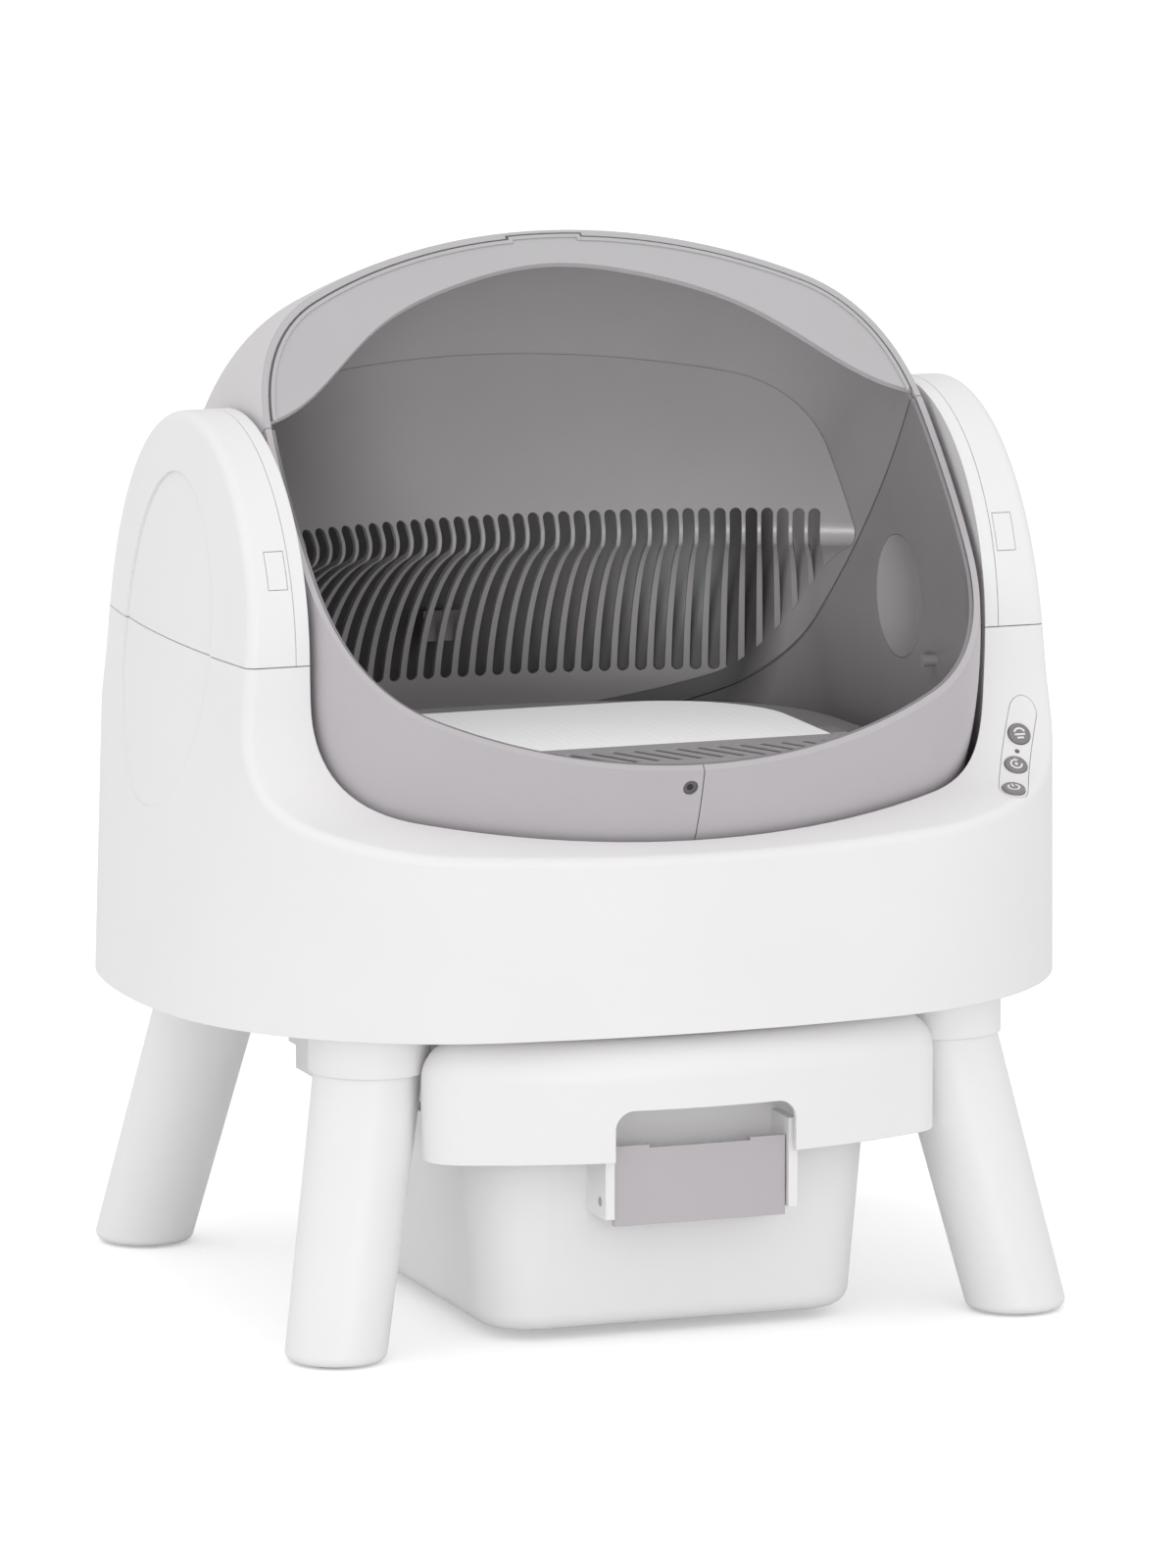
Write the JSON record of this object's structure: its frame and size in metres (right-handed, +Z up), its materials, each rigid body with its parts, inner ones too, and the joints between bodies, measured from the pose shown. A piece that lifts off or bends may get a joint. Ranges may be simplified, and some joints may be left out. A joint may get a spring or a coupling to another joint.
{
  "type": "self-cleaning litter box",
  "caption": "Motor-turned open litter drum hung between the side towers of a white housing on splayed legs, with a slotted rear sieve and a waste drawer below.",
  "frame": {"origin": "on the floor under the middle of the housing", "axes": "+Z up, the open front faces -Y, +X to the side with the buttons"},
  "size_m": [0.5958, 0.486, 0.6587],
  "materials": {
    "white_plastic": "fine satin moulded plastic",
    "mauve_plastic": "satin moulded plastic",
    "dark_plastic": "satin moulded plastic",
    "button_plastic": "satin cap with a pale ring",
    "acetal": "smooth natural acetal",
    "motor_plastic": "black moulded gear case",
    "board_laminate": "green board laminate",
    "lamp_plastic": "clear indicator lens",
    "soft_rubber": "matte grey rubber",
    "steel": "bright steel"
  },
  "bodies": {
    "base": {"base_shell": "white_plastic", "drum_well": "white_plastic", "base_pan": "white_plastic", "tower_cap_left": "white_plastic", "tower_cap_right": "white_plastic", "tower_inner_left": "white_plastic", "tower_inner_right": "white_plastic", "cap_catches": "white_plastic", "pivot_bush_left": "acetal", "pivot_bush_right": "acetal", "leg_front_left": "white_plastic", "leg_front_right": "white_plastic", "leg_rear_left": "white_plastic", "leg_rear_right": "white_plastic", "leg_socket_front_left": "white_plastic", "leg_socket_front_right": "white_plastic", "leg_socket_rear_left": "white_plastic", "leg_socket_rear_right": "white_plastic", "foot_pads": "soft_rubber", "drawer_rail_left": "white_plastic", "drawer_rail_right": "white_plastic", "gear_motor": "motor_plastic", "control_panel": "white_plastic", "control_board": "board_laminate", "led_lens": "lamp_plastic", "power_inlet": "motor_plastic"},
    "drum": {"bowl_left": "mauve_plastic", "bowl_right": "mauve_plastic", "bowl_liner": "dark_plastic", "dome": "mauve_plastic", "dome_liner": "dark_plastic", "visor": "mauve_plastic", "rear_sieve": "dark_plastic", "sieve_latch": "dark_plastic", "floor_tray": "dark_plastic", "floor_mat": "white_plastic", "mat_clips": "dark_plastic", "step_grille": "dark_plastic", "trunnion_left": "dark_plastic", "trunnion_right": "dark_plastic", "drum_gear": "acetal", "front_screw": "steel"},
    "pinion": {"pinion": "acetal"},
    "button_clean": {"button_clean": "button_plastic"},
    "button_level": {"button_level": "button_plastic"},
    "button_power": {"button_power": "button_plastic"},
    "drawer": {"waste_bin": "white_plastic", "bin_collar": "white_plastic", "bin_feet": "soft_rubber", "latch_pin": "steel"},
    "flap": {"latch_flap": "mauve_plastic"}
  },
  "joints": [
    {"name": "drum_turn", "type": "hinge", "parent": "base", "child": "drum", "pos_m": [0, 0, 0.423], "axis": [1, 0, 0], "range_deg": [-100, 140]},
    {"name": "pinion_spin", "type": "hinge", "parent": "base", "child": "pinion", "pos_m": [0.2503, 0, 0.36675], "axis": [1, 0, 0], "range_deg": [-425, 305]},
    {"name": "button_clean_press", "type": "slide", "parent": "base", "child": "button_clean", "axis": [0, 0.8192, -0.5736], "range_m": [0, 0.0015], "stiffness_N_per_m": 600},
    {"name": "button_level_press", "type": "slide", "parent": "base", "child": "button_level", "axis": [0, 0.5948, -0.8039], "range_m": [0, 0.0015], "stiffness_N_per_m": 600},
    {"name": "button_power_press", "type": "slide", "parent": "base", "child": "button_power", "axis": [0, 0.3007, -0.9537], "range_m": [0, 0.0015], "stiffness_N_per_m": 600},
    {"name": "drawer_slide", "type": "slide", "parent": "base", "child": "drawer", "axis": [0, -1, 0], "range_m": [0, 0.3]},
    {"name": "flap_swing", "type": "hinge", "parent": "drawer", "child": "flap", "pos_m": [0, -0.221, 0.094], "axis": [1, 0, 0], "range_deg": [0, 75]}
  ],
  "couplings": [
    {"joint": "pinion_spin", "follows": "drum_turn", "ratio": -3}
  ]
}
